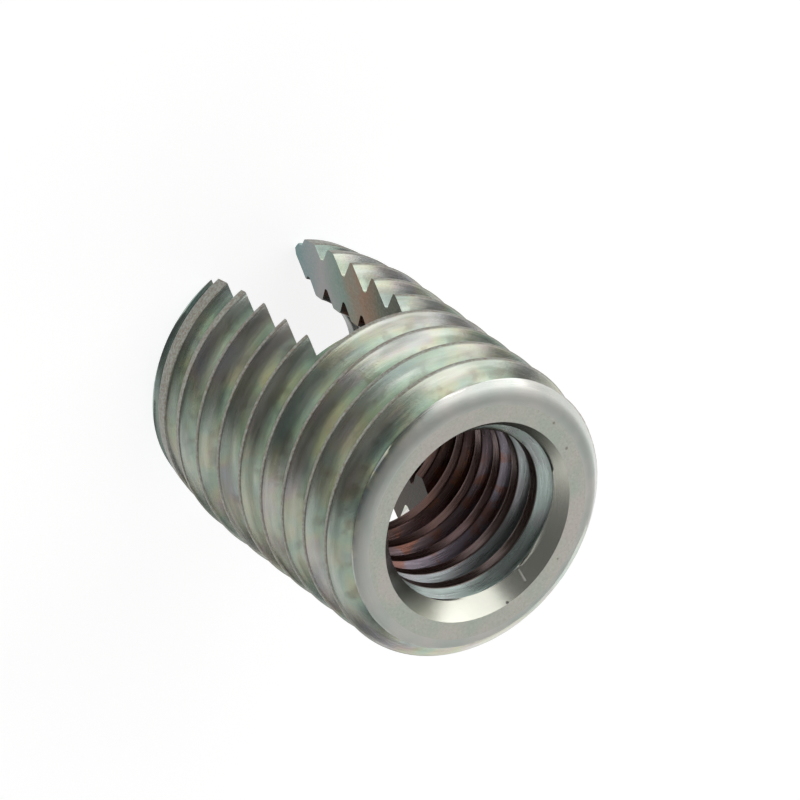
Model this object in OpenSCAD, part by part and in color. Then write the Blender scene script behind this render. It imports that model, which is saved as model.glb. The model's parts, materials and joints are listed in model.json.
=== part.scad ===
// Slotted self-tapping threaded insert: a turned steel sleeve with a coarse outside thread that cuts
// its own way into the parent material, a bore tapped for a machine screw, and a cross slot at the
// leading end whose edges do the cutting. It stands on its slotted end, axis on Z, plain end up.

/* [Body] */
// Overall length of the sleeve
body_len = 15; // [13:0.5:24]
// Diameter over the crests of the outside thread
crest_d = 11.8; // [11.2:0.1:13.5]

/* [Outside thread] */
// Axial advance of one turn
pitch = 1.5; // [1.25:0.05:1.75]
// Radial height from root to crest
thread_h = 0.88; // [0.6:0.02:0.95]
// Width of the land left on a full crest
crest_land = 0.14; // [0.08:0.02:0.24]
// Width of the flat at the bottom of a groove
root_land = 0.16; // [0.08:0.02:0.26]
// Direction in which a crest crosses the height of the plain end, from +X toward +Y
thread_start = 316; // [0:1:359]

/* [Plain end] */
// Outer diameter of the flat end face
face_d = 10.2; // [9.8:0.1:11]
// Height of the bevel between the end face and the thread
face_bevel_h = 0.9; // [0.5:0.1:1.6]

/* [Slotted end] */
// Outer diameter of the flat at the tip
tip_d = 9.5; // [9.1:0.1:10.2]
// Diameter where the tip bevel meets the lead taper
lead_d = 10.8; // [10.6:0.1:11.1]
// Height of the tip bevel
tip_bevel_h = 0.7; // [0.4:0.05:1.2]
// Height at which the lead taper reaches the full crest diameter
lead_h = 3.8; // [2:0.2:6]

/* [Bore] */
// Minor diameter of the tapped bore
bore_d = 6.65; // [6.2:0.05:7]
// Diameter of the countersink at the plain end
mouth_d = 8.15; // [7.6:0.05:8.6]
// Depth of the countersink at the plain end
mouth_h = 1; // [0.5:0.05:1.4]
// Diameter of the countersink at the slotted end
exit_d = 8.9; // [7.6:0.1:9]
// Depth of the countersink at the slotted end
exit_h = 0.75; // [0.4:0.05:1.4]

/* [Inside thread] */
// Axial advance of one turn
tap_pitch = 1.25; // [1.15:0.05:1.4]
// Radial depth of the groove that the tap has cut
groove_h = 0.56; // [0.4:0.02:0.6]
// Width of the flat at the bottom of the groove
groove_land = 0.14; // [0.08:0.02:0.2]
// Width of the land left between two turns of the groove
bore_land = 0.46; // [0.36:0.02:0.5]
// Direction in which the groove crosses the height of the plain end, from +X toward +Y
groove_start = 210; // [0:1:359]

/* [Cross slot] */
// Width of the slot between its two walls
slot_w = 3.98; // [2.6:0.02:4.4]
// Distance from the axis to the middle of the slot, toward +X
slot_shift = -0.06; // [-0.2:0.02:0.2]
// Depth of the slot from the slotted end
slot_depth = 7.9; // [6:0.1:10]

/* [Hidden] */
// Straight facets to one turn of the outside thread
turn_steps = 60;
// Straight facets to one turn of the inside thread
tap_steps = 36;
// Fineness of the true round surfaces
round_fn = 96;
// How far a cutting shape stands clear of the body
clear = 1;
// Turns that a threaded rod has beyond the sleeve's length, so that both ends are cut clean
spare_turns = 3;
// How far inside the bore's own wall the tap's root lies
tap_sink = 0.15;
crest_r = crest_d / 2;
bore_r = bore_d / 2;

// One tooth of a thread as four points [radius, height above the middle of its crest]
function tooth(pitch, top_r, top_land, bottom_r, bottom_land) =
    let (flank_w = (pitch - top_land - bottom_land) / 2)
    [
        [top_r, -top_land / 2],
        [top_r, top_land / 2],
        [bottom_r, top_land / 2 + flank_w],
        [bottom_r, top_land / 2 + flank_w + bottom_land],
    ];

// A threaded rod as one closed surface: upright columns of tooth points joined all round, where the
// last column joins the first one a whole turn higher. Its crest crosses the plain end at start
module threaded_rod(tooth, pitch, start, steps) {
    turns = ceil(body_len / pitch) + spare_turns;
    lowest = body_len - (turns - 1) * pitch;
    corners = len(tooth);
    column = corners * turns + 1;
    // One point of the threaded surface, counted up its column
    function thread_point(step, row) =
        let (angle = start + 360 * step / steps, point = tooth[row % corners])
        [
            point[0] * cos(angle),
            point[0] * sin(angle),
            lowest + pitch * (step / steps + floor(row / corners)) + point[1],
        ];
    points = [
        for (step = [0 : steps - 1], row = [0 : column - 1])
            thread_point(step, row)
    ];
    // The apex of each pointed end comes after the thread's own points
    low = len(points);
    high = low + 1;
    low_apex = [0, 0, lowest - 2 * pitch];
    high_apex = [0, 0, lowest + (turns + 2) * pitch];
    // Index of a point; a step past the last column is the first column, one turn up
    function at(step, row) = step < steps ? step * column + row : row + corners;
    skin = [
        for (step = [0 : steps - 1], row = [0 : column - 2])
            if (step < steps - 1 || row < column - 1 - corners)
                for (half = [0, 1])
                    half == 0
                        ? [at(step, row), at(step, row + 1), at(step + 1, row + 1)]
                        : [at(step, row), at(step + 1, row + 1), at(step + 1, row)]
    ];
    // The two open rims, each with the step between the first column and the last one
    low_rim = concat(
        [for (step = [0 : steps]) at(step, 0)],
        [for (row = [corners - 1 : -1 : 1]) row]
    );
    last = (steps - 1) * column;
    high_rim = concat(
        [for (step = [0 : steps - 1]) at(step, column - 1)],
        [for (row = [column - 2 : -1 : column - 1 - corners]) last + row]
    );
    polyhedron(
        points = concat(points, [low_apex, high_apex]),
        faces = concat(
            skin,
            [for (i = [0 : len(low_rim) - 1]) [low, low_rim[i], low_rim[(i + 1) % len(low_rim)]]],
            [for (i = [0 : len(high_rim) - 1]) [high, high_rim[(i + 1) % len(high_rim)], high_rim[i]]]
        ),
        convexity = 8
    );
}

// The coarse thread, before its ends are turned
module outside_thread() {
    threaded_rod(
        tooth(pitch, crest_r, crest_land, crest_r - thread_h, root_land),
        pitch, thread_start, turn_steps
    );
}

// The tap, whose crests cut the groove; its root lies inside the drilled bore
module tap() {
    flank_slope = (tap_pitch - groove_land - bore_land) / 2 / groove_h;
    threaded_rod(
        tooth(
            tap_pitch, bore_r + groove_h, groove_land,
            bore_r - tap_sink, bore_land - 2 * flank_slope * tap_sink
        ),
        tap_pitch, groove_start, tap_steps
    );
}

// What the turning tools leave: the flat ends, their bevels and the lead taper
module turned_envelope() {
    rotate_extrude($fn = round_fn)
        polygon([
            [0, 0],
            [tip_d / 2, 0],
            [lead_d / 2, tip_bevel_h],
            [crest_r, lead_h],
            [crest_r + clear, lead_h + clear],
            [crest_r + clear, body_len - face_bevel_h - clear],
            [crest_r, body_len - face_bevel_h],
            [face_d / 2, body_len],
            [0, body_len],
        ]);
}

// A cone that opens the bore from its own diameter up to wide_d at height 0, and on past it
module countersink(wide_d, depth) {
    slope = (wide_d - bore_d) / depth;
    translate([0, 0, -depth])
        cylinder(h = depth + clear, d1 = bore_d, d2 = wide_d + clear * slope, $fn = round_fn);
}

// The drilled and tapped bore, with a countersink at each end
module bore() {
    tap();
    translate([0, 0, -clear])
        cylinder(h = body_len + 2 * clear, d = bore_d, $fn = round_fn);
    translate([0, 0, body_len])
        countersink(mouth_d, mouth_h);
    mirror([0, 0, 1])
        countersink(exit_d, exit_h);
}

// The milled slot, open at the tip and through both walls
module cross_slot() {
    translate([slot_shift - slot_w / 2, -crest_d, -clear])
        cube([slot_w, 2 * crest_d, slot_depth + clear]);
}

module insert() {
    color([0.62, 0.64, 0.58])
        difference() {
            intersection() {
                outside_thread();
                turned_envelope();
            }
            bore();
            cross_slot();
        }
}

insert();
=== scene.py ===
# %% [markdown]
# # A slotted self-tapping threaded insert
#
# The object is one turned piece of zinc-plated steel. A coarse thread runs along its outside, a finer
# one is tapped through its bore, and a slot is milled across its leading end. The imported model
# holds that construction in plain facets with sharp edges. This lesson makes the same piece again as
# one closed mesh of finer facets, rounds the edges of its threads and of its plain end as wear and
# plating do, and gives each machined surface its own finish.

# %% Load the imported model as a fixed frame
import json
import math

import bmesh
import bpy
from mathutils import Matrix, Quaternion, Vector


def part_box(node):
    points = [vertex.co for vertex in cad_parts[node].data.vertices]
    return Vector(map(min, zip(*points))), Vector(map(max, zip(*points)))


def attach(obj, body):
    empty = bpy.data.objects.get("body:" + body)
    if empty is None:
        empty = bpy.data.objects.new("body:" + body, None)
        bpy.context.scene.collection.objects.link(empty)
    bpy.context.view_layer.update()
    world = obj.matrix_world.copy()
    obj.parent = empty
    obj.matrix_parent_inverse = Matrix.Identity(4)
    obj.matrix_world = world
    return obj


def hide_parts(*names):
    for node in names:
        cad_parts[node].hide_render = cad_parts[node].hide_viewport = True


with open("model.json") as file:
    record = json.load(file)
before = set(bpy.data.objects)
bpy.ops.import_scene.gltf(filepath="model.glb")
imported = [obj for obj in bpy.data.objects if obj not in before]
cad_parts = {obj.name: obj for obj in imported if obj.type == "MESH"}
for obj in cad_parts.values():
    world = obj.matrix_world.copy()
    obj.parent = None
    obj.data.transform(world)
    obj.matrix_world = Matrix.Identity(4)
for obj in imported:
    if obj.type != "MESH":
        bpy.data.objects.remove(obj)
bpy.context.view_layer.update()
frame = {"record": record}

# %% [markdown]
# Sizes come from the frame where it states them: the length and the crest radius from the node's
# box, the bore from its mount. The mesh is shaped in millimetres, because the operators' own
# tolerances suit numbers near one, and it is brought to metres at the end.

# %% Sizes, in millimetres
MM = 0.001
mounts = {mount["name"]: mount for mount in frame["record"]["mounts"]}
low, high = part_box("insert")
LENGTH = (high.z - low.z) / MM
CREST_R = min(high.x, high.y, -low.x, -low.y) / MM
BORE_R = mounts["tapped_bore"]["dims"]["r_mm"]
print(f"length {LENGTH:.2f}, crest radius {CREST_R:.3f}, bore radius {BORE_R:.3f}")

# %% [markdown]
# ## The outside thread
#
# One tooth is a short line from groove to groove. Spinning it once about Z while it climbs one pitch
# sweeps one turn, as a lathe tool does. Copies of that turn, each a pitch higher, meet it edge to
# edge, which is much quicker than one long spin. A real crest and a real root are never sharp, so
# each corner of the line is eased into a short curve.


# %% Easing the corners of a line
EASE_STEPS = 3  # straight pieces in an eased corner
EASE_SHARE = 0.4  # the most of a side that easing takes at each of its ends


def toward(corner, other, reach):
    """A point on the way from a corner to its neighbour."""
    way = other - corner
    return corner + way.normalized() * min(reach, way.length * EASE_SHARE)


def eased(corners, reach):
    """The line through corners, with each inner corner replaced by a short parabola."""
    points = [corners[0]]
    for before, corner, after in zip(corners, corners[1:], corners[2:]):
        start = toward(corner, before, reach)
        end = toward(corner, after, reach)
        for step in range(EASE_STEPS + 1):
            t = step / EASE_STEPS
            points.append(start * (1 - t) ** 2 + corner * (2 * t * (1 - t)) + end * t ** 2)
    return points + [corners[-1]]


def wire(bm, points, longest):
    """A chain of edges through points given as (radius, height), none longer than longest."""
    verts = [bm.verts.new((point.x, 0, point.y)) for point in points]
    for pair in zip(verts, verts[1:]):
        bm.edges.new(pair)
    for edge in bm.edges[:]:
        cuts = math.ceil(edge.calc_length() / longest) - 1
        if cuts > 0:
            bmesh.ops.subdivide_edges(bm, edges=[edge], cuts=cuts)


# %% Sweeping a tooth into a thread
STEPS = 144  # straight facets to a turn
MERGE = 0.004  # farthest apart that two swept points may lie and still be the same point


def swept_thread(tooth, pitch, crest_azimuth, longest):
    """A right-hand threaded surface whose crest meets the plain end's height at crest_azimuth."""
    bm = bmesh.new()
    wire(bm, tooth, longest)
    turns = math.ceil(LENGTH / pitch) + 2
    start = Matrix.Translation((0, 0, LENGTH - (turns - 1) * pitch))
    turned = Matrix.Rotation(math.radians(crest_azimuth), 4, "Z")
    bmesh.ops.transform(bm, matrix=turned @ start, verts=bm.verts)
    bmesh.ops.spin(
        bm, geom=bm.verts[:] + bm.edges[:], cent=(0, 0, 0), axis=(0, 0, 1),
        dvec=(0, 0, pitch / STEPS), angle=math.tau, steps=STEPS, use_merge=False,
    )
    first_turn = bm.verts[:] + bm.edges[:] + bm.faces[:]
    for turn in range(1, turns):
        copied = bmesh.ops.duplicate(bm, geom=first_turn)["geom"]
        raised = [part for part in copied if isinstance(part, bmesh.types.BMVert)]
        bmesh.ops.translate(bm, vec=(0, 0, turn * pitch), verts=raised)
    bmesh.ops.remove_doubles(bm, verts=bm.verts, dist=MERGE)
    return bm


# %% The outside tooth
PITCH = 1.5
THREAD_H = 0.88
CREST_LAND = 0.14
ROOT_LAND = 0.16
CREST_AZIMUTH = 316
CREST_EASE = 0.07  # how far from a corner of the tooth its easing starts
FLANK_PIECE = 0.12  # longest facet up a flank
root_r = CREST_R - THREAD_H
flank_w = (PITCH - CREST_LAND - ROOT_LAND) / 2
tooth = [
    Vector((root_r, -PITCH / 2)),
    Vector((root_r, -CREST_LAND / 2 - flank_w)),
    Vector((CREST_R, -CREST_LAND / 2)),
    Vector((CREST_R, CREST_LAND / 2)),
    Vector((root_r, CREST_LAND / 2 + flank_w)),
    Vector((root_r, PITCH / 2)),
]
outside = swept_thread(eased(tooth, CREST_EASE), PITCH, CREST_AZIMUTH, FLANK_PIECE)
print("outside thread:", len(outside.verts), "points,", len(outside.faces), "faces")

# %% [markdown]
# ## The turned envelope
#
# Before it is threaded, the blank is turned: a bevel at the plain end, a taper and a smaller bevel
# at the leading end. The thread keeps only what lies inside that blank. Level cuts first give the
# mesh rings of points where its ends are rounded, and then each point that stands outside the blank
# is drawn in to it. A soft minimum eases the edge where the two surfaces meet. The flat face doesn't
# end in a sharp corner: it rolls over into its bevel, as an edge does that has been broken by hand.


# %% Trimming to a profile of revolution
ON_LEVEL = 1e-5  # how near to a level cut a point may lie and count as lying on it


def soft_min(a, b, blend):
    """The smaller of a and b, eased where they are within about blend of each other."""
    least = min(a, b)
    return least - blend * math.log(math.exp((least - a) / blend) + math.exp((least - b) / blend))


def cut_level(bm, height, above=False, below=False):
    """A ring of points at this height; above and below say what to clear away."""
    bmesh.ops.bisect_plane(
        bm, geom=bm.verts[:] + bm.edges[:] + bm.faces[:], dist=ON_LEVEL, plane_co=(0, 0, height),
        plane_no=(0, 0, 1), clear_outer=above, clear_inner=below,
    )


def draw_in(bm, limit_r, blend):
    """Each point is drawn in to limit_r(height), or out to it if blend is negative."""
    sign = math.copysign(1, blend)
    for vert in bm.verts:
        radius = vert.co.xy.length
        wanted = sign * soft_min(sign * radius, sign * limit_r(vert.co.z), abs(blend))
        vert.co.xy = vert.co.xy * (wanted / radius)


# %% The blank's outer profile
FACE_R = 5.1
FACE_BEVEL_H = 0.9
TIP_R = 4.75
LEAD_R = 5.4
TIP_BEVEL_H = 0.7
LEAD_H = 3.8
bevel_slope = (CREST_R - FACE_R) / FACE_BEVEL_H
tip_slope = (LEAD_R - TIP_R) / TIP_BEVEL_H
lead_slope = (CREST_R - LEAD_R) / (LEAD_H - TIP_BEVEL_H)

# %% [markdown]
# The shoulder's round starts on the flat face and touches the bevel where its own slope equals the
# bevel's, so its radius follows from those two places. The tip has only a small broken edge.

# %% The shoulder and the tip's edge
FLAT_R = 4.78  # where the flat face starts to round over
SHOULDER_OUT = 0.05  # how far the bevel stands out, to make up for what the round takes away
TIP_ROUND = 0.06
TIP_STEEP = 4  # how fast the limit opens above the tip's round, so that it limits nothing there
BEND_BLEND = 0.02  # how far each bend of the blank is eased
tilt = math.atan2(1, bevel_slope)
shoulder_round = (FACE_R + SHOULDER_OUT - FLAT_R) / math.tan(tilt / 2)
shoulder_h = shoulder_round * (1 - math.cos(tilt))
print(f"shoulder radius {shoulder_round:.2f}, height {shoulder_h:.2f}")


def rounded_rise(depth, radius):
    """How far a rounded edge has opened out at this depth below the face it starts from."""
    depth = min(max(depth, 0), radius)
    return math.sqrt(depth * (2 * radius - depth))


def blank_r(z):
    """Radius of the turned blank at a height."""
    below_face = LENGTH - z
    bevel = FACE_R + SHOULDER_OUT + bevel_slope * below_face
    shoulder = FLAT_R + rounded_rise(below_face, shoulder_round)
    plain_end = shoulder if below_face < shoulder_h else bevel
    tip = TIP_R + tip_slope * z
    lead = LEAD_R + lead_slope * (z - TIP_BEVEL_H)
    tip_open = rounded_rise(z, TIP_ROUND) + max(z - TIP_ROUND, 0) * TIP_STEEP
    tip_corner = TIP_R - TIP_ROUND / 2 + tip_open
    return min(plain_end, soft_min(soft_min(tip, lead, BEND_BLEND), tip_corner, BEND_BLEND))


# %% Trimming the thread to the blank
SHOULDER_CUTS = 12
TIP_CUTS = (0.005, 0.015, 0.03, 0.045, 0.06, 0.1)  # heights above the tip
UNDER_FACE = 0.0005  # how far under the flat face the first cut lies
EDGE_BLEND = 0.015  # how far the edge is eased where a flank meets a turned surface
for step in range(SHOULDER_CUTS):
    way_down = (step / (SHOULDER_CUTS - 1)) ** 2
    cut_level(outside, LENGTH - shoulder_h * way_down - UNDER_FACE)
for height in TIP_CUTS:
    cut_level(outside, height)
cut_level(outside, LENGTH, above=True)
cut_level(outside, 0, below=True)
draw_in(outside, blank_r, EDGE_BLEND)
print("trimmed outside:", len(outside.faces), "faces")

# %% [markdown]
# ## The tapped bore
#
# The inside thread is made the same way. Its tooth points inward: a land at the bore's own radius,
# with a groove cut beside it by the tap. A countersink opens each end. A tap may start anywhere in
# its turn, and the screw fits as well. Here the land starts half a turn round from where it starts
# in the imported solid, because that agrees with the lines on the bore's wall near the plain end.

# %% The inside thread
SCREW_PITCH = 1.25
GROOVE_H = 0.56
GROOVE_LAND = 0.14
BORE_LAND = 0.46
LAND_AZIMUTH = 210
GROOVE_EASE = 0.05  # how far from a corner of the groove its easing starts
WALL_PIECE = 0.15  # longest facet up a groove's side
groove_r = BORE_R + GROOVE_H
groove = [
    Vector((BORE_R, 0)),
    Vector((BORE_R, BORE_LAND / 2)),
    Vector((groove_r, (SCREW_PITCH - GROOVE_LAND) / 2)),
    Vector((groove_r, (SCREW_PITCH + GROOVE_LAND) / 2)),
    Vector((BORE_R, SCREW_PITCH - BORE_LAND / 2)),
    Vector((BORE_R, SCREW_PITCH)),
]
bore = swept_thread(eased(groove, GROOVE_EASE), SCREW_PITCH, LAND_AZIMUTH, WALL_PIECE)

# %% The countersinks
MOUTH_R = 4.075
MOUTH_H = 1.0
EXIT_R = 4.45
EXIT_H = 0.75
MOUTH_CUTS = (0.02, 0.3, MOUTH_H)  # depths below the plain end
INSIDE_WALL = 1  # the farthest inside the wall that the profile between the countersinks goes


def countersunk_r(z):
    """Radius that the countersinks have opened the bore to at a height."""
    mouth = MOUTH_R - (LENGTH - z) * (MOUTH_R - BORE_R) / MOUTH_H
    way_out = EXIT_R - z * (EXIT_R - BORE_R) / EXIT_H
    return max(mouth, way_out, BORE_R - INSIDE_WALL)


for depth in MOUTH_CUTS:
    cut_level(bore, LENGTH - depth)
cut_level(bore, EXIT_H)
cut_level(bore, LENGTH, above=True)
cut_level(bore, 0, below=True)
draw_in(bore, countersunk_r, -EDGE_BLEND)
print("tapped bore:", len(bore.faces), "faces")

# %% [markdown]
# ## One closed piece
#
# The two surfaces go into one mesh, and a flat ring of faces closes each end between them. Every
# face is marked with the surface it belongs to, so that each can have its own finish.

# %% Marking the surfaces
THREAD, BEVEL, FACE, SUNK, TAPPED, MILLED = range(6)
NEAR = 0.03  # how far from a turned surface a face's middle may lie and still belong to it
FLAT = 1e-3  # how far from a plane a point may lie and still belong to it


def mark_outside(face):
    """Thread, or the bevel at the plain end where the blank itself shows."""
    centre = face.calc_center_median()
    on_blank = abs(centre.xy.length - blank_r(centre.z)) < NEAR
    return BEVEL if on_blank and centre.z > LENGTH - FACE_BEVEL_H - NEAR else THREAD


def mark_bore(face):
    """The countersink at the plain end, or the thread and what lies below it."""
    centre = face.calc_center_median()
    on_cone = abs(centre.xy.length - countersunk_r(centre.z)) < NEAR
    return SUNK if on_cone and centre.z > LENGTH - MOUTH_H else TAPPED


for face in outside.faces:
    face.material_index = mark_outside(face)
for face in bore.faces:
    face.material_index = mark_bore(face)
marks = [face.material_index for face in outside.faces[:] + bore.faces[:]]
for name, mark in (("thread", THREAD), ("bevel", BEVEL), ("countersink", SUNK), ("bore", TAPPED)):
    print(f"{name}: {marks.count(mark)} faces")

# %% Joining the surfaces
bore_mesh = bpy.data.meshes.new("bore_part")
bore.to_mesh(bore_mesh)
bore.free()
insert = outside
insert.from_mesh(bore_mesh)
bpy.data.meshes.remove(bore_mesh)


def open_edges(bm, test):
    """Edges with one face or none whose two ends both pass the test."""
    return [
        edge for edge in bm.edges
        if not edge.is_manifold and all(test(vert.co) for vert in edge.verts)
    ]


def fill_flat(bm, edges, normal, surface):
    """Fills between closed flat outlines with triangles of one surface."""
    filled = bmesh.ops.triangle_fill(bm, edges=edges, use_beauty=True, normal=normal)["geom"]
    faces = [part for part in filled if isinstance(part, bmesh.types.BMFace)]
    for face in faces:
        face.material_index = surface
    return len(faces)


for height in (LENGTH, 0):
    rims = open_edges(insert, lambda co: abs(co.z - height) < FLAT)
    parts = fill_flat(insert, rims, (0, 0, 1), FACE)
    print(f"end ring at {height:.1f}: {len(rims)} edges, {parts} faces")
print("open edges left:", len(open_edges(insert, lambda co: True)))

# %% [markdown]
# ## The cross slot
#
# A cutter has milled a slot through both walls of the leading end. Three plane cuts mark the slot's
# walls and floor on the mesh, the faces between them go, and each wall is filled as the flat face
# that the cutter leaves. Its outline then shows both threads in section.

# %% Milling the slot
SLOT_W = 3.98
SLOT_SHIFT = -0.06
SLOT_DEPTH = 7.9
ON_PLANE = 1e-4  # how near to one of the slot's cuts a point may lie and count as lying on it
slot_sides = (SLOT_SHIFT - SLOT_W / 2, SLOT_SHIFT + SLOT_W / 2)


def cut_plane(bm, point, normal, region):
    """Cuts the faces whose centre passes the region test, along one plane."""
    faces = [face for face in bm.faces if region(face.calc_center_median())]
    edges = {edge for face in faces for edge in face.edges}
    verts = {vert for face in faces for vert in face.verts}
    bmesh.ops.bisect_plane(
        bm, geom=list(verts) + list(edges) + faces, dist=ON_PLANE, plane_co=point, plane_no=normal
    )


def in_slot(place):
    """True for a place that the cutter passes through."""
    return slot_sides[0] < place.x < slot_sides[1] and place.z < SLOT_DEPTH


cut_plane(insert, (0, 0, SLOT_DEPTH), (0, 0, 1), lambda co: abs(co.x) < SLOT_W)
for side in slot_sides:
    cut_plane(insert, (side, 0, 0), (1, 0, 0), lambda co: co.z < SLOT_DEPTH)
milled_away = [face for face in insert.faces if in_slot(face.calc_center_median())]
bmesh.ops.delete(insert, geom=milled_away, context="FACES")
print("milled away:", len(milled_away), "faces")


# %% Filling the slot's walls and floors
def on_floor(place):
    """True for a place at the height of the slot's floor."""
    return abs(place.z - SLOT_DEPTH) < FLAT


def fill_wall(side, way):
    """One cut wall, from its open outline and a new edge along the slot's floor."""
    def on_wall(place):
        return abs(place.x - side) < FLAT and place.y * way > 0 and place.z < SLOT_DEPTH + FLAT

    outline = open_edges(insert, on_wall)
    corners = {vert for edge in outline for vert in edge.verts if on_floor(vert.co)}
    outline.append(insert.edges.new(sorted(corners, key=lambda vert: vert.co.y)))
    parts = fill_flat(insert, outline, (1, 0, 0), MILLED)
    print(f"slot wall at {side:.2f}: {len(outline)} edges, {len(corners)} corners, {parts} faces")


for way in (-1, 1):
    for side in slot_sides:
        fill_wall(side, way)
    outline = open_edges(insert, lambda co: on_floor(co) and co.y * way > 0)
    parts = fill_flat(insert, outline, (0, 0, 1), MILLED)
    print("slot floor:", len(outline), "edges,", parts, "faces")
print("open edges left:", len(open_edges(insert, lambda co: True)))

# %% [markdown]
# The mesh now goes to metres and becomes the finished object. Its flanks and its bore are shaded
# smooth, and an edge stays crisp where its two faces turn by more than a set angle, as on the slot's
# rims.

# %% From millimetres to a finished object
SHARP = math.radians(38)
bmesh.ops.recalc_face_normals(insert, faces=insert.faces)
bmesh.ops.scale(insert, vec=(MM, MM, MM), verts=insert.verts)
mesh = bpy.data.meshes.new("threaded_insert")
insert.to_mesh(mesh)
print("volume:", round(insert.calc_volume(signed=True) / MM ** 3, 1), "cubic millimetres")
insert.free()
mesh.shade_smooth()
mesh.set_sharp_from_angle(angle=SHARP)
piece = bpy.data.objects.new("threaded_insert", mesh)
bpy.context.scene.collection.objects.link(piece)
print("triangles:", sum(len(polygon.vertices) - 2 for polygon in mesh.polygons))

# %% [markdown]
# ## Finishes
#
# Thin chromate on zinc shows weak colours, from green to straw and rose, that change with its
# thickness. They run round the piece along the tool marks, so most of the patterns here are noise
# drawn out along the thread's own climb. A small class lets a shader socket take part in plain
# arithmetic, which keeps a mask as readable as a sum.

# %% Shader arithmetic
class Value:
    """A shader socket that takes part in plain arithmetic and adds Math nodes as it does."""

    def __init__(self, finish, socket):
        self.finish = finish
        self.socket = socket

    def math(self, operation, *others):
        return self.finish.node("ShaderNodeMath", {"operation": operation}, [self, *others])

    def __add__(self, other):
        return self.math("ADD", other)

    def __sub__(self, other):
        return self.math("SUBTRACT", other)

    def __rsub__(self, other):
        return self.finish.node("ShaderNodeMath", {"operation": "SUBTRACT"}, [other, self])

    def __mul__(self, other):
        return self.math("MULTIPLY", other)

    def __truediv__(self, other):
        return self.math("DIVIDE", other)

    __radd__ = __add__
    __rmul__ = __mul__


# %% [markdown]
# A finish is one material. It knows its place on the insert in millimetres, as x, y and z and as a
# radius and a direction round the axis, because all surfaces but the slot's run round that axis. It
# has the few patterns that the finishes share: cloudy blotches, streaks along the turning direction,
# bands, single spots, and relief.

# %% A material's nodes
BAND_CORE = 0.3  # share of a band's reach that has its full strength
SPOT_CORE = 0.4  # the same share of a spot's reach


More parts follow.
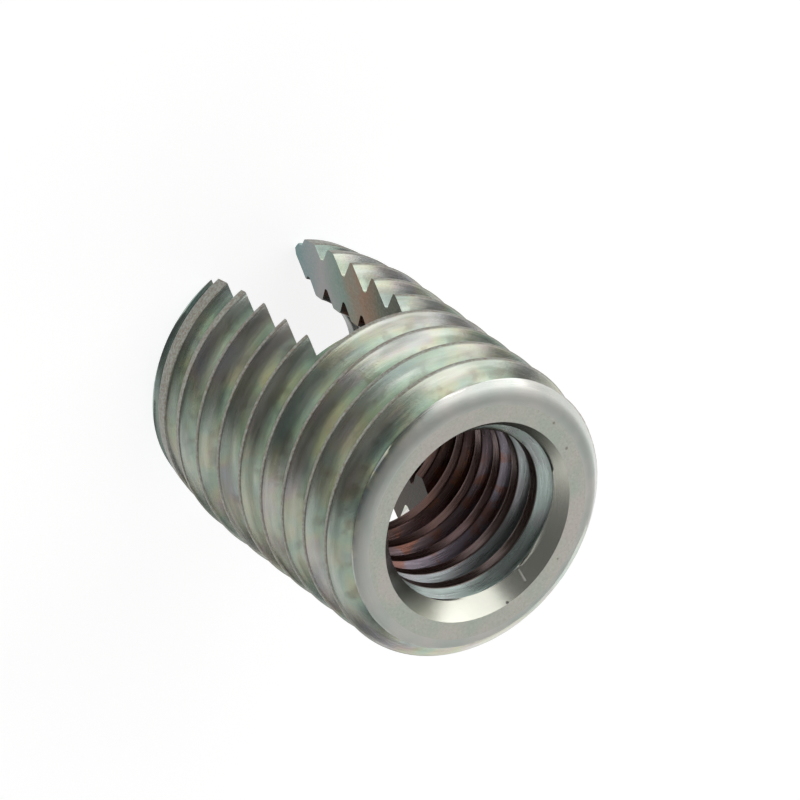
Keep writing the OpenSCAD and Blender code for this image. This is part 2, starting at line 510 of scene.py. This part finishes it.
class Finish:
    """A material whose nodes are added one call at a time."""

    def __init__(self, name):
        self.material = bpy.data.materials.new(name)
        self.material.use_nodes = True
        self.tree = self.material.node_tree
        self.surface = self.tree.nodes["Principled BSDF"]
        where = self.node("ShaderNodeTexCoord", {}, {}, "Object")
        in_mm = {"Vector": where, "Scale": 1 / MM}
        self.place = self.node("ShaderNodeVectorMath", {"operation": "SCALE"}, in_mm)
        parts = self.node("ShaderNodeSeparateXYZ", {}, [self.place], None)
        self.x, self.y, self.z = (Value(self, parts.outputs[axis]) for axis in "XYZ")
        flat = self.node("ShaderNodeCombineXYZ", {}, [self.x, self.y, 0.0])
        self.radius = self.node("ShaderNodeVectorMath", {"operation": "LENGTH"}, [flat], "Value")
        self.azimuth = self.y.math("ARCTAN2", self.x)

    def node(self, kind, settings, inputs, output=0):
        """Adds a node and gives one of its outputs, or the node itself where output is None."""
        made = self.tree.nodes.new(kind)
        for name, value in settings.items():
            if name == "stops":
                self.set_stops(made.color_ramp, value)
            else:
                setattr(made, name, value)
        listed = inputs.items() if isinstance(inputs, dict) else enumerate(inputs)
        for name, value in listed:
            self.feed(made.inputs[name], value)
        return made if output is None else Value(self, made.outputs[output])

    def feed(self, socket, value):
        """Links a value to a socket, or sets a plain number or colour on it."""
        if isinstance(value, Value):
            self.tree.links.new(value.socket, socket)
        else:
            socket.default_value = value

    def set_stops(self, ramp, stops):
        """Places a colour ramp's stops, each a position and a colour."""
        while len(ramp.elements) < len(stops):
            ramp.elements.new(1)
        for element, (position, color) in zip(ramp.elements, stops):
            element.position = position
            element.color = (*color, 1)

    def ramp(self, factor, low, high):
        """0 below low, 1 above high, and a smooth rise between them."""
        settings = {"interpolation_type": "SMOOTHSTEP"}
        inputs = {"Value": factor, "From Min": low, "From Max": high}
        return self.node("ShaderNodeMapRange", settings, inputs, "Result")

    def palette(self, factor, *colors):
        """Evenly spaced colours, picked by a factor from 0 to 1."""
        last = len(colors) - 1
        stops = [(index / last, color) for index, color in enumerate(colors)]
        return self.node("ShaderNodeValToRGB", {"stops": stops}, [factor], "Color")

    def mix(self, factor, first, second):
        """One colour laid over another by a factor."""
        settings = {"data_type": "RGBA"}
        first = first if isinstance(first, Value) else (*first, 1)
        second = second if isinstance(second, Value) else (*second, 1)
        return self.node("ShaderNodeMix", settings, {"Factor": factor, 6: first, 7: second}, 2)

    def blotches(self, size, detail=3, roughness=0.5):
        """Soft cloudy noise from 0 to 1, with patches about this many millimetres across."""
        inputs = {"Vector": self.place, "Scale": 1 / size, "Detail": detail, "Roughness": roughness}
        return self.node("ShaderNodeTexNoise", {}, inputs, "Fac")

    def streaks(self, along, across, height, detail=2):
        """Noise drawn out along the turning direction: round the axis and level with height."""
        direction = [self.x / self.radius, self.y / self.radius, 0.0]
        ring = self.node("ShaderNodeCombineXYZ", {}, direction)
        stretch = {"Vector": ring, "Scale": along}
        drawn = self.node("ShaderNodeVectorMath", {"operation": "SCALE"}, stretch)
        rise = self.node("ShaderNodeCombineXYZ", {}, [0.0, 0.0, self.radius / across])
        both = self.node("ShaderNodeVectorMath", {"operation": "ADD"}, [drawn, rise])
        inputs = {"Vector": both, "W": height / across, "Scale": 1.0, "Detail": detail}
        return self.node("ShaderNodeTexNoise", {"noise_dimensions": "4D"}, inputs, "Fac")

    def near(self, value, at, reach):
        """1 where the value is at a number, falling to 0 at this distance from it."""
        return 1 - self.ramp((value - at).math("ABSOLUTE"), reach * BAND_CORE, reach)

    def spot(self, azimuth, radius, height, reach):
        """1 at one place on the insert, falling to 0 at this distance from it."""
        turn = math.radians(azimuth)
        at = (radius * math.cos(turn), radius * math.sin(turn), height)
        settings = {"operation": "DISTANCE"}
        apart = self.node("ShaderNodeVectorMath", settings, [self.place, at], "Value")
        return 1 - self.ramp(apart, reach * SPOT_CORE, reach)

    def bump(self, height, depth, under=None):
        """Relief of this depth in millimetres."""
        inputs = {"Height": height, "Distance": depth * MM, "Strength": 1.0}
        if under is not None:
            inputs["Normal"] = under
        return self.node("ShaderNodeBump", {}, inputs, "Normal")

    def done(self, **inputs):
        """Sets the surface's sockets and gives the material."""
        for name, value in inputs.items():
            self.feed(self.surface.inputs[name.replace("_", " ")], value)
        return self.material


# %% [markdown]
# The thread is a bright grey-green metal with clouds of colour, stronger and greener deep in the
# grooves, partly where the chromate settles and partly as a painted glint of light caught low in the
# grooves. Brown stains gather there too. The crests are darkened to a dull, speckled line. At the tip
# the plating is bluer and darker.

# %% The outside thread's finish
SILVER = (0.68, 0.72, 0.65)
PEWTER = (0.31, 0.34, 0.28)
MINT = (0.50, 0.65, 0.52)
TEAL = (0.34, 0.46, 0.44)
ROSE = (0.68, 0.55, 0.52)
LILAC = (0.53, 0.53, 0.62)
STRAW = (0.68, 0.67, 0.46)
UMBER = (0.20, 0.15, 0.12)
TIP_BLUE = (0.25, 0.35, 0.36)
CREST_TONES = (UMBER, (0.24, 0.24, 0.21), (0.34, 0.35, 0.31))


def thread_finish():
    finish = Finish("plated_thread")
    climb = finish.z - finish.azimuth * (PITCH / math.tau)
    depth = CREST_R - finish.radius

    # Bare grey metal, lighter and darker along the tool marks
    fine = finish.streaks(4, 0.10, climb)
    tone = finish.ramp(finish.streaks(2.2, 0.45, climb), 0.34, 0.66)
    color = finish.mix(tone, PEWTER, SILVER)

    # The chromate's colours in clouds, and greens in the grooves that are partly a painted glint
    cloud = finish.ramp(finish.blotches(2.4), 0.28, 0.72)
    tint = finish.palette(cloud, TEAL, MINT, STRAW, ROSE, LILAC)
    patch = finish.ramp(finish.streaks(1.6, 0.3, climb), 0.3, 0.7) * 0.5
    color = finish.mix(patch + finish.ramp(fine, 0.3, 0.75) * 0.25, color, tint)
    green = finish.palette(finish.ramp(finish.blotches(1.6), 0.3, 0.7), TEAL, MINT, STRAW)
    # Painted glint: the greens deep in the grooves stand partly for light caught there
    color = finish.mix(finish.ramp(depth, 0.30, 0.62) * 0.6, color, green)
    at_tip = 1 - finish.ramp(finish.z, 0.6, 2.2)
    color = finish.mix(at_tip * 0.7, color, TIP_BLUE)

    # Stains in the grooves, and speckled crests. A crest follows the lead taper up to full size
    stain = finish.ramp(finish.blotches(0.9), 0.5, 0.68) * finish.ramp(depth, 0.15, 0.5)
    color = finish.mix(stain * 0.4, color, UMBER)
    lead = LEAD_R + (finish.z - TIP_BEVEL_H) * lead_slope
    on_crest = finish.ramp(finish.radius - lead.math("MINIMUM", CREST_R), -0.07, -0.02)
    speckle = finish.blotches(0.10, detail=4, roughness=0.7)
    crest = finish.palette(finish.ramp(speckle, 0.35, 0.65), *CREST_TONES)
    color = finish.mix(on_crest * 0.9, color, crest)

    rough = finish.ramp(fine, 0.3, 0.7) * 0.06 + on_crest * 0.2 + 0.21
    normal = finish.bump(fine, 0.0025)
    normal = finish.bump(speckle, on_crest * 0.008 + 0.003, normal)
    return finish.done(Base_Color=color, Metallic=0.94, Roughness=rough, Normal=normal)


# %% [markdown]
# The bevel is turned smooth and mirrors the lamps in a bright band. Toward the rounded shoulder it
# grows duller, and a thin brown seam runs below it. Near the run-out of the thread it carries darker
# thread colours, a painted shade that stands in for the shaded groove that runs out there.

# %% The outer bevel's finish
BEVEL_TONES = ((0.56, 0.60, 0.56), (0.68, 0.66, 0.62))
RUN_OUT_PAINTED_SHADE = ((0.24, 0.35, 0.33), (0.21, 0.23, 0.23), (0.52, 0.52, 0.36), (0.34, 0.43, 0.36))
SEAM_BROWN = (0.30, 0.22, 0.17)
SEAM_DEPTH = 0.62  # below the plain end
SEAM_W = 0.07
RUN_OUT = (CREST_AZIMUTH + 8, FACE_R + 0.3, LENGTH - 0.4)  # direction, radius and height
RUN_OUT_REACH = 4.4


def bevel_finish():
    finish = Finish("turned_bevel")
    down = LENGTH - finish.z
    lines = finish.streaks(1.0, 0.05, finish.z)
    color = finish.mix(finish.ramp(finish.blotches(1.6), 0.3, 0.7), *BEVEL_TONES)
    # Painted shade: darker thread colours laid on the bevel where the thread's groove runs out
    tint = finish.palette(finish.ramp(finish.blotches(0.9), 0.3, 0.7), *RUN_OUT_PAINTED_SHADE)
    groove_painted_shade = finish.spot(*RUN_OUT, RUN_OUT_REACH)
    color = finish.mix(groove_painted_shade * finish.ramp(down, 0.06, 0.35) * 0.8, color, tint)
    broken = finish.ramp(finish.blotches(0.14, detail=2), 0.40, 0.55)
    seam = finish.near(down, SEAM_DEPTH, SEAM_W) * broken
    color = finish.mix(seam * 0.8, color, SEAM_BROWN)
    rough = finish.blotches(0.5) * 0.1 + (1 - finish.ramp(down, 0.12, 0.4)) * 0.34 + 0.18
    normal = finish.bump(lines, 0.006)
    return finish.done(Base_Color=color, Metallic=1.0, Roughness=rough, Normal=normal)


# %% [markdown]
# The flat ring is the dullest surface: fine turning rings under a matt, mottled grey. A few small
# brown specks are set one by one, each by its direction, its radius and its size.

# %% The flat faces' finish
FACE_TONES = ((0.48, 0.53, 0.46), (0.55, 0.55, 0.49), (0.59, 0.55, 0.51))
PALE_GRAIN = (0.68, 0.68, 0.63)
DARK_GRAIN = (0.34, 0.33, 0.28)
SPECK_BROWN = (0.24, 0.20, 0.16)
FACE_MARKS = (
    (199, 4.40, 0.09),
    (216, 4.65, 0.08),
    (148, 4.85, 0.11),
    (136, 4.40, 0.06),
    (8, 5.08, 0.12),
)


def face_finish():
    finish = Finish("plain_face")
    rings = finish.streaks(1.0, 0.05, finish.radius)
    mottle = finish.blotches(0.12, detail=4, roughness=0.7)
    color = finish.palette(finish.ramp(finish.blotches(1.3), 0.25, 0.75), *FACE_TONES)
    color = finish.mix(finish.ramp(mottle, 0.50, 0.70) * 0.55, color, PALE_GRAIN)
    color = finish.mix((1 - finish.ramp(mottle, 0.32, 0.50)) * 0.35, color, DARK_GRAIN)
    for azimuth, radius, reach in FACE_MARKS:
        speck = finish.spot(azimuth, radius, LENGTH, reach)
        color = finish.mix(speck * 0.75, color, SPECK_BROWN)
    rough = mottle * 0.2 + 0.36
    normal = finish.bump(rings, 0.008)
    normal = finish.bump(mottle, 0.006, normal)
    return finish.done(Base_Color=color, Metallic=1.0, Roughness=rough, Normal=normal)


# %% [markdown]
# The countersink is cut last and stays bright, with a creamy tone. It has one short scratch, a row of
# small spots that run together, and one dark nick at its rim.

# %% The countersink's finish
SUNK_TONES = ((0.60, 0.62, 0.55), (0.72, 0.71, 0.62))
SCRATCH_TONE = (0.85, 0.85, 0.82)
NICK_TONE = (0.10, 0.09, 0.08)
SCRATCH_START = (119, 3.66, LENGTH - 0.56)  # direction, radius and height
SCRATCH_END = (117, 3.92, LENGTH - 0.21)
SCRATCH_SPOTS = 9
SCRATCH_W = 0.05
NICK = (101.5, 4.05, LENGTH - 0.03)  # direction, radius and height
NICK_W = 0.09


def scratch_mask(finish):
    """The scratch, a row of spots that climbs the cone and turns a little as it goes."""
    mask = None
    for step in range(SCRATCH_SPOTS):
        along = step / (SCRATCH_SPOTS - 1)
        place = [a + (b - a) * along for a, b in zip(SCRATCH_START, SCRATCH_END)]
        here = finish.spot(*place, SCRATCH_W)
        mask = here if mask is None else mask.math("MAXIMUM", here)
    return mask


def sunk_finish():
    finish = Finish("countersink")
    lines = finish.streaks(1.2, 0.05, finish.z)
    color = finish.mix(finish.blotches(1.5), *SUNK_TONES)
    scratch = scratch_mask(finish)
    color = finish.mix(scratch * 0.5, color, SCRATCH_TONE)
    nick = finish.spot(*NICK, NICK_W)
    color = finish.mix(nick * 0.9, color, NICK_TONE)
    rough = scratch * 0.3 + 0.27
    normal = finish.bump(lines, 0.0012)
    return finish.done(Base_Color=color, Metallic=1.0, Roughness=rough, Normal=normal)


# %% [markdown]
# Plating hardly reaches into a narrow bore. The first turns are pale and bluish, then the wall turns
# brown with patches of rust, and near the open slot it is grey again. One palette runs down the bore:
# the brown and the rust are the bore's own colour, while the darkening with depth is painted shade,
# and the pale first turns and the grey near the open slot are painted light. The lands between the
# grooves are darker in the upper half of the bore.

# %% The tapped bore's finish
# Painted shade and light: pale at the mouth, dark deep in the bore, lighter again near the open slot
BORE_TONES_PAINTED_SHADE_AND_LIGHT = (
    (0.46, 0.56, 0.51), (0.42, 0.49, 0.47), (0.30, 0.26, 0.31),
    (0.19, 0.12, 0.11), (0.13, 0.07, 0.05), (0.11, 0.06, 0.045),
    (0.16, 0.16, 0.14), (0.24, 0.27, 0.25), (0.24, 0.27, 0.25),
)
BORE_MAUVE = (0.34, 0.26, 0.30)
RUST = (0.34, 0.12, 0.05)
DULL_LAND = (0.13, 0.075, 0.065)


def tapped_finish():
    finish = Finish("tapped_bore")
    climb = finish.z - finish.azimuth * (SCREW_PITCH / math.tau)
    lines = finish.streaks(4, 0.07, climb)
    down = (LENGTH - finish.z) / LENGTH
    flank = finish.palette(down, *BORE_TONES_PAINTED_SHADE_AND_LIGHT)
    flank = finish.mix(finish.ramp(finish.blotches(1.1), 0.4, 0.7) * 0.35, flank, BORE_MAUVE)
    rust = finish.ramp(finish.blotches(0.9), 0.52, 0.64) * finish.ramp(down, 0.15, 0.22)
    flank = finish.mix(rust * 0.6, flank, RUST)
    land = 1 - finish.ramp(finish.radius, BORE_R + 0.02, BORE_R + 0.06)
    dull = land * (1 - finish.ramp(down, 0.5, 0.65)) * 0.85
    color = finish.mix(dull, flank, DULL_LAND)
    rough = finish.ramp(lines, 0.3, 0.7) * 0.12 + 0.24
    normal = finish.bump(lines, 0.006)
    return finish.done(Base_Color=color, Metallic=0.9, Roughness=rough, Normal=normal)


# %% [markdown]
# The slot's walls are rough-milled and carry broad stains, from blue-grey at the tip over green to
# brown toward the floor. On the side that lies deepest in shade, painted shade makes the wall nearly
# black.

# %% The milled slot's finish
SLOT_TONES = (
    (0.15, 0.26, 0.26), (0.31, 0.31, 0.31), (0.17, 0.26, 0.22),
    (0.28, 0.16, 0.09), (0.11, 0.13, 0.08), (0.04, 0.045, 0.03),
)
SLOT_GRAIN = (0.42, 0.40, 0.37)
SLOT_PAINTED_SHADE = (0.04, 0.03, 0.025)
STAIN_SHIFT = 1.2  # how far up or down the stains' borders wander


def milled_finish():
    finish = Finish("milled_slot")
    shifted = finish.z + finish.blotches(1.2) * (2 * STAIN_SHIFT) - STAIN_SHIFT
    color = finish.palette(shifted / SLOT_DEPTH, *SLOT_TONES)
    grain = finish.blotches(0.12, detail=4, roughness=0.65)
    color = finish.mix(finish.ramp(grain, 0.4, 0.7) * 0.25, color, SLOT_GRAIN)
    # Painted shade: the wall on the +y side is darkened nearly to black for the shade it lies in
    color = finish.mix(finish.ramp(finish.y, -1.0, 1.0) * 0.9, color, SLOT_PAINTED_SHADE)
    normal = finish.bump(grain, 0.010)
    return finish.done(Base_Color=color, Metallic=1.0, Roughness=0.42, Normal=normal)


# %% [markdown]
# The materials go onto the mesh in the order in which the surfaces were numbered, one slot for each.
# The insert hangs from the fixed root body, and the imported node insert that it stands for is
# hidden.

# %% Dressing the insert
for make in (thread_finish, bevel_finish, face_finish, sunk_finish, tapped_finish, milled_finish):
    piece.data.materials.append(make())
print("finishes:", [material.name for material in piece.data.materials])
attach(piece, "root")
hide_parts("insert")

# %% [markdown]
# ## Floor, light and camera
#
# The floor is a wide disc whose rim rises, so that no edge shows and a low reflection still meets
# something pale. Where the camera or a mirror reflection sees it, a glow over a grey base makes it
# show white, and the base still takes the insert's soft shadow. All other light meets a plain pale
# surface without that glow, so the white background adds no light of its own to the shadows.

# %% The floor
FLOOR_R = 0.5
SWEEP = ((0.0, 0.0), (0.10, 0.02), (0.17, 0.07), (0.20, 0.16))  # the rim: steps out, and height
FLOOR_STEPS = 64
FLOOR_MERGE = 1e-5  # closes the floor's middle, where the first point of every step lies
floor_bm = bmesh.new()
profile = [floor_bm.verts.new((0, 0, 0))]
for out, height in SWEEP:
    profile.append(floor_bm.verts.new((FLOOR_R + out, 0, height)))
for pair in zip(profile, profile[1:]):
    floor_bm.edges.new(pair)
bmesh.ops.spin(
    floor_bm, geom=floor_bm.verts[:] + floor_bm.edges[:], cent=(0, 0, 0), axis=(0, 0, 1),
    angle=math.tau, steps=FLOOR_STEPS, use_merge=True,
)
bmesh.ops.remove_doubles(floor_bm, verts=floor_bm.verts, dist=FLOOR_MERGE)
bmesh.ops.recalc_face_normals(floor_bm, faces=floor_bm.faces)
floor_mesh = bpy.data.meshes.new("floor")
floor_bm.to_mesh(floor_mesh)
floor_bm.free()
floor_mesh.shade_smooth()
floor = bpy.data.objects.new("floor", floor_mesh)
bpy.context.scene.collection.objects.link(floor)
print("floor:", len(floor_mesh.polygons), "faces")


# %% The floor's finish
GLOW = 0.86  # what the floor gives off where it is seen directly
PALE = (0.80, 0.80, 0.79)
GREY = (0.30, 0.30, 0.30)


def seen_directly(finish):
    """1 for rays from the camera, a mirror reflection or glass, and 0 for all the others."""
    path = finish.node("ShaderNodeLightPath", {}, {}, None)
    names = ("Is Camera Ray", "Is Glossy Ray", "Is Transmission Ray")
    camera, glossy, through = (Value(finish, path.outputs[name]) for name in names)
    return camera.math("MAXIMUM", glossy).math("MAXIMUM", through)


def floor_finish():
    """A pale floor that shows white and keeps a soft shadow."""
    finish = Finish("pale_floor")
    seen = seen_directly(finish)
    base = finish.mix(seen, PALE, GREY)
    glow = finish.mix(seen * GLOW, (0, 0, 0), (1, 1, 1))
    return finish.done(Base_Color=base, Emission_Color=glow, Emission_Strength=1.0, Roughness=0.9)


floor.data.materials.append(floor_finish())

# %% [markdown]
# An even, weak world fills the shadows. Bright metal shows what stands round it, so each lamp is a
# large softbox, and its brightness is given as the value that it has where the metal mirrors it.

# %% The world
WORLD_LEVEL = 0.12
world = bpy.data.worlds.new("studio")
bpy.context.scene.world = world
world.use_nodes = True
background = world.node_tree.nodes["Background"]
background.inputs["Color"].default_value = (1, 1, 1, 1)
background.inputs["Strength"].default_value = WORLD_LEVEL
print("world level:", WORLD_LEVEL)

# %% Lamps
LAMP_DISTANCE = 0.38
middle = Vector((0, 0, LENGTH / 2)) * MM


def direction(azimuth, elevation):
    """The unit vector toward a direction given in radians."""
    level = math.cos(elevation)
    return Vector((math.cos(azimuth) * level, math.sin(azimuth) * level, math.sin(elevation)))


def softbox(name, azimuth, elevation, width, height, radiance):
    """A lamp that faces the insert and has this brightness wherever it is mirrored."""
    lamp = bpy.data.lights.new(name, "AREA")
    lamp.shape = "RECTANGLE"
    lamp.size = width
    lamp.size_y = height
    lamp.energy = radiance * math.pi * width * height
    lamp_object = bpy.data.objects.new(name, lamp)
    away = direction(math.radians(azimuth), math.radians(elevation))
    lamp_object.location = middle + away * LAMP_DISTANCE
    lamp_object.rotation_mode = "QUATERNION"
    lamp_object.rotation_quaternion = away.to_track_quat("Z", "Y")
    bpy.context.scene.collection.objects.link(lamp_object)
    print(f"{name} lamp: {lamp.energy:.3f} W")


softbox("key", azimuth=227, elevation=29, width=0.475, height=0.40, radiance=1.2)
softbox("fill", azimuth=112, elevation=48, width=0.50, height=0.30, radiance=0.85)
softbox("side", azimuth=42, elevation=46, width=0.30, height=0.24, radiance=0.5)

# %% [markdown]
# The camera looks down on the plain end from far off through a long lens, so the perspective is
# weak. It is rolled so that the insert lies in the view with its slotted end to the upper left.

# %% Camera
CAMERA_AZIMUTH = math.radians(-52.853)
CAMERA_ELEVATION = math.radians(47.934)
CAMERA_ROLL = math.radians(126.531)
CAMERA_DISTANCE = 0.5506
FOCAL_LENGTH = 667
AIM = Vector((0.726, -4.163, 11.649)) * MM
back = direction(CAMERA_AZIMUTH, CAMERA_ELEVATION)
camera = bpy.data.cameras.new("camera")
camera.lens = FOCAL_LENGTH
camera.sensor_width = 36
camera.clip_start = 0.05
camera.clip_end = 5
camera_object = bpy.data.objects.new("camera", camera)
camera_object.location = AIM + back * CAMERA_DISTANCE
camera_object.rotation_mode = "QUATERNION"
upright = (-back).to_track_quat("-Z", "Y")
camera_object.rotation_quaternion = upright @ Quaternion((0, 0, 1), CAMERA_ROLL)
bpy.context.scene.collection.objects.link(camera_object)
bpy.context.scene.camera = camera_object
bpy.context.scene.view_settings.view_transform = "Standard"
print("camera at", [round(v, 4) for v in camera_object.location])
